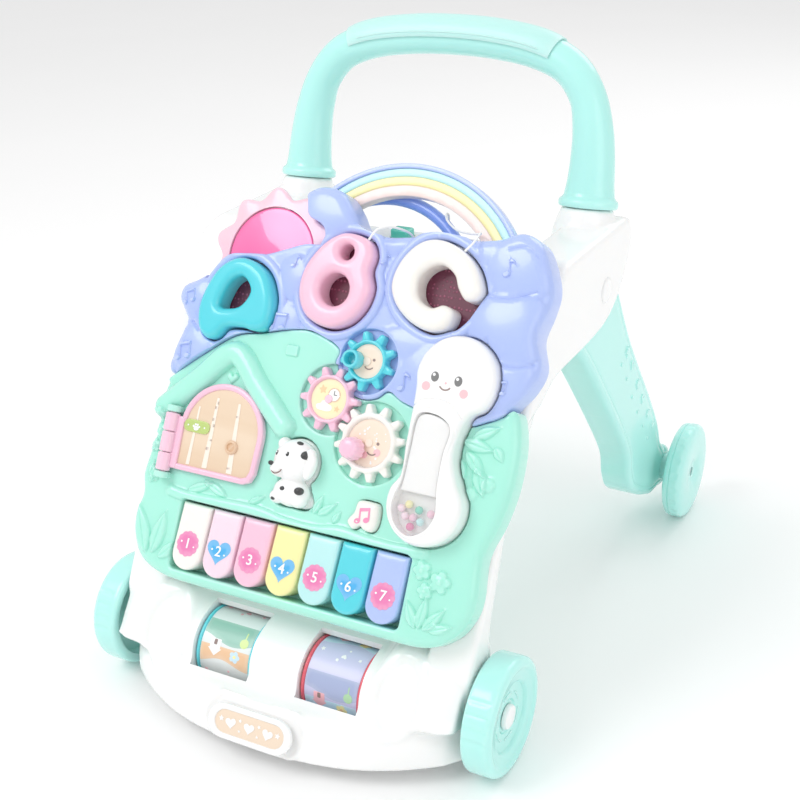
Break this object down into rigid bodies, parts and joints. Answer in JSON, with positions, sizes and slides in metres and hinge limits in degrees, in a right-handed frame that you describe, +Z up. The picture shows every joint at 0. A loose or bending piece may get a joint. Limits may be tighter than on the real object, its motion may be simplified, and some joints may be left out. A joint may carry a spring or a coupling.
{
  "type": "baby walker",
  "caption": "Push-along baby activity walker: sloping play panel on a white frame with a bow handle, four wheels, bumper rollers and folding rear legs.",
  "frame": {"origin": "middle of the bounding box at floor level, where the wheels stand", "axes": "+Z up, -Y towards the front bumper and the play face, +Y towards the handle and rear legs, +X towards the handset side"},
  "size_m": [0.3428, 0.5328, 0.4634],
  "materials": {
    "frame_white": "moulded gloss white",
    "mint": "moulded gloss mint",
    "grip_aqua": "satin aqua grip",
    "steel": "plain steel",
    "plaque": "blank printed plaque",
    "roller_teal": "teal rims, white sleeve",
    "roller_red": "red rims, white sleeve",
    "periwinkle": "moulded gloss periwinkle",
    "letter_floor_dark": "dark red with speckles",
    "pink": "moulded gloss pink",
    "light_pink": "moulded gloss light pink",
    "mirror_magenta": "tinted toy mirror",
    "aqua": "moulded gloss aqua",
    "turquoise": "moulded gloss turquoise",
    "cream": "moulded gloss cream",
    "yellow": "moulded gloss yellow",
    "white": "moulded gloss white",
    "clear_window": "clear window over beads",
    "battery_dark": "dark cell pack",
    "board_green": "circuit board",
    "cord_white": "soft white cord"
  },
  "bodies": {
    "frame": {"frame_shell": "frame_white", "frame_bottom_cover": "frame_white", "handle_bow": "mint", "handle_grip": "grip_aqua", "leg_pivot_pin_left": "steel", "leg_pivot_pin_right": "steel", "front_axle_left": "steel", "front_axle_right": "steel", "front_hub_cap_left": "frame_white", "front_hub_cap_right": "frame_white", "roller_axle": "steel", "bumper_plaque": "plaque"},
    "panel": {"panel_lower_shell": "mint", "panel_upper_shell": "periwinkle", "panel_back_cover": "mint", "battery_cover": "mint", "battery_pack": "battery_dark", "speaker": "steel", "circuit_board": "board_green", "letter_floor": "letter_floor_dark", "sun_petals": "pink", "sun_mirror": "mirror_magenta", "rainbow_arch": "aqua", "rainbow_tube": "periwinkle", "door_pin": "pink", "key_rail": "steel", "tether_b": "cord_white", "tether_c": "cord_white"},
    "rear_leg_left": {"rear_leg_left": "mint", "rear_axle_left": "steel"},
    "rear_leg_right": {"rear_leg_right": "mint", "rear_axle_right": "steel"},
    "rear_wheel_left": {"rear_wheel_left": "mint"},
    "rear_wheel_right": {"rear_wheel_right": "mint"},
    "front_wheel_left": {"front_wheel_left": "mint"},
    "front_wheel_right": {"front_wheel_right": "mint"},
    "roller_left": {"roller_left": "roller_teal"},
    "roller_right": {"roller_right": "roller_red"},
    "latch_button": {"latch_button": "mint"},
    "gear_pink": {"gear_pink": "pink"},
    "gear_white": {"gear_white": "cream", "gear_white_knob": "pink"},
    "gear_teal": {"gear_teal": "turquoise"},
    "house_door": {"house_door": "pink"},
    "dog_button": {"dog_button": "white"},
    "note_button": {"note_button": "white"},
    "letter_a": {"letter_a": "turquoise"},
    "letter_b": {"letter_b": "pink"},
    "letter_c": {"letter_c": "cream"},
    "handset": {"handset_shell": "white", "handset_window": "clear_window"},
    "key_1": {"key_1": "cream"},
    "key_2": {"key_2": "light_pink"},
    "key_3": {"key_3": "pink"},
    "key_4": {"key_4": "yellow"},
    "key_5": {"key_5": "aqua"},
    "key_6": {"key_6": "turquoise"},
    "key_7": {"key_7": "periwinkle"}
  },
  "joints": [
    {"name": "panel_lift", "type": "slide", "parent": "frame", "child": "panel", "axis": [0, -0.8712, 0.4909], "range_m": [0, 0.06]},
    {"name": "latch_press", "type": "slide", "parent": "frame", "child": "latch_button", "axis": [0, 0, -1], "range_m": [0, 0.003], "stiffness_N_per_m": 150},
    {"name": "rear_leg_fold_left", "type": "hinge", "parent": "frame", "child": "rear_leg_left", "pos_m": [0, 0.0264, 0.284], "axis": [-1, 0, 0], "range_deg": [0, 60]},
    {"name": "rear_wheel_spin_left", "type": "hinge", "parent": "rear_leg_left", "child": "rear_wheel_left", "pos_m": [-0.1625, 0.2224, 0.044], "axis": [1, 0, 0], "continuous": true},
    {"name": "front_wheel_spin_left", "type": "hinge", "parent": "frame", "child": "front_wheel_left", "pos_m": [-0.159, -0.1816, 0.044], "axis": [1, 0, 0], "continuous": true},
    {"name": "roller_spin_left", "type": "hinge", "parent": "frame", "child": "roller_left", "pos_m": [-0.04585, -0.1956, 0.046], "axis": [1, 0, 0], "continuous": true},
    {"name": "rear_leg_fold_right", "type": "hinge", "parent": "frame", "child": "rear_leg_right", "pos_m": [0, 0.0264, 0.284], "axis": [-1, 0, 0], "range_deg": [0, 60]},
    {"name": "rear_wheel_spin_right", "type": "hinge", "parent": "rear_leg_right", "child": "rear_wheel_right", "pos_m": [0.1625, 0.2224, 0.044], "axis": [1, 0, 0], "continuous": true},
    {"name": "front_wheel_spin_right", "type": "hinge", "parent": "frame", "child": "front_wheel_right", "pos_m": [0.159, -0.1816, 0.044], "axis": [1, 0, 0], "continuous": true},
    {"name": "roller_spin_right", "type": "hinge", "parent": "frame", "child": "roller_right", "pos_m": [0.04585, -0.1956, 0.046], "axis": [1, 0, 0], "continuous": true},
    {"name": "gear_white_spin", "type": "hinge", "parent": "panel", "child": "gear_white", "pos_m": [0.04738, -0.15186, 0.21833], "axis": [0, -0.8712, 0.4909], "continuous": true},
    {"name": "gear_pink_spin", "type": "hinge", "parent": "panel", "child": "gear_pink", "pos_m": [0.0095, -0.13995, 0.23948], "axis": [0, -0.8712, 0.4909], "continuous": true},
    {"name": "gear_teal_spin", "type": "hinge", "parent": "panel", "child": "gear_teal", "pos_m": [0.03337, -0.1249, 0.26619], "axis": [0, -0.8712, 0.4909], "continuous": true},
    {"name": "door_swing", "type": "hinge", "parent": "panel", "child": "house_door", "pos_m": [-0.115, -0.17193, 0.19494], "axis": [0, -0.4909, -0.8712], "range_deg": [0, 100]},
    {"name": "key_press_1", "type": "hinge", "parent": "panel", "child": "key_1", "pos_m": [-0.0828, -0.18111, 0.15421], "axis": [1, 0, 0], "range_deg": [0, 3.5], "stiffness_Nm_per_rad": 0.6},
    {"name": "key_press_2", "type": "hinge", "parent": "panel", "child": "key_2", "pos_m": [-0.05554, -0.18111, 0.15421], "axis": [1, 0, 0], "range_deg": [0, 3.5], "stiffness_Nm_per_rad": 0.6},
    {"name": "key_press_3", "type": "hinge", "parent": "panel", "child": "key_3", "pos_m": [-0.02828, -0.18111, 0.15421], "axis": [1, 0, 0], "range_deg": [0, 3.5], "stiffness_Nm_per_rad": 0.6},
    {"name": "key_press_4", "type": "hinge", "parent": "panel", "child": "key_4", "pos_m": [-0.00102, -0.18111, 0.15421], "axis": [1, 0, 0], "range_deg": [0, 3.5], "stiffness_Nm_per_rad": 0.6},
    {"name": "key_press_5", "type": "hinge", "parent": "panel", "child": "key_5", "pos_m": [0.02624, -0.18111, 0.15421], "axis": [1, 0, 0], "range_deg": [0, 3.5], "stiffness_Nm_per_rad": 0.6},
    {"name": "key_press_6", "type": "hinge", "parent": "panel", "child": "key_6", "pos_m": [0.0535, -0.18111, 0.15421], "axis": [1, 0, 0], "range_deg": [0, 3.5], "stiffness_Nm_per_rad": 0.6},
    {"name": "key_press_7", "type": "hinge", "parent": "panel", "child": "key_7", "pos_m": [0.08076, -0.18111, 0.15421], "axis": [1, 0, 0], "range_deg": [0, 3.5], "stiffness_Nm_per_rad": 0.6},
    {"name": "dog_press", "type": "slide", "parent": "panel", "child": "dog_button", "axis": [0, 0.8712, -0.4909], "range_m": [0, 0.0025], "stiffness_N_per_m": 300},
    {"name": "note_press", "type": "slide", "parent": "panel", "child": "note_button", "axis": [0, 0.8712, -0.4909], "range_m": [0, 0.0025], "stiffness_N_per_m": 300},
    {"name": "letter_a_lift", "type": "slide", "parent": "panel", "child": "letter_a", "axis": [0, -0.8712, 0.4909], "range_m": [0, 0.04]},
    {"name": "letter_b_lift", "type": "slide", "parent": "panel", "child": "letter_b", "axis": [0, -0.8712, 0.4909], "range_m": [0, 0.04]},
    {"name": "letter_c_lift", "type": "slide", "parent": "panel", "child": "letter_c", "axis": [0, -0.8712, 0.4909], "range_m": [0, 0.04]},
    {"name": "handset_lift", "type": "slide", "parent": "panel", "child": "handset", "axis": [0, -0.8712, 0.4909], "range_m": [0, 0.06]}
  ],
  "couplings": [
    {"joint": "gear_pink_spin", "follows": "gear_white_spin", "ratio": -1.2},
    {"joint": "gear_teal_spin", "follows": "gear_white_spin", "ratio": 1.3333}
  ]
}
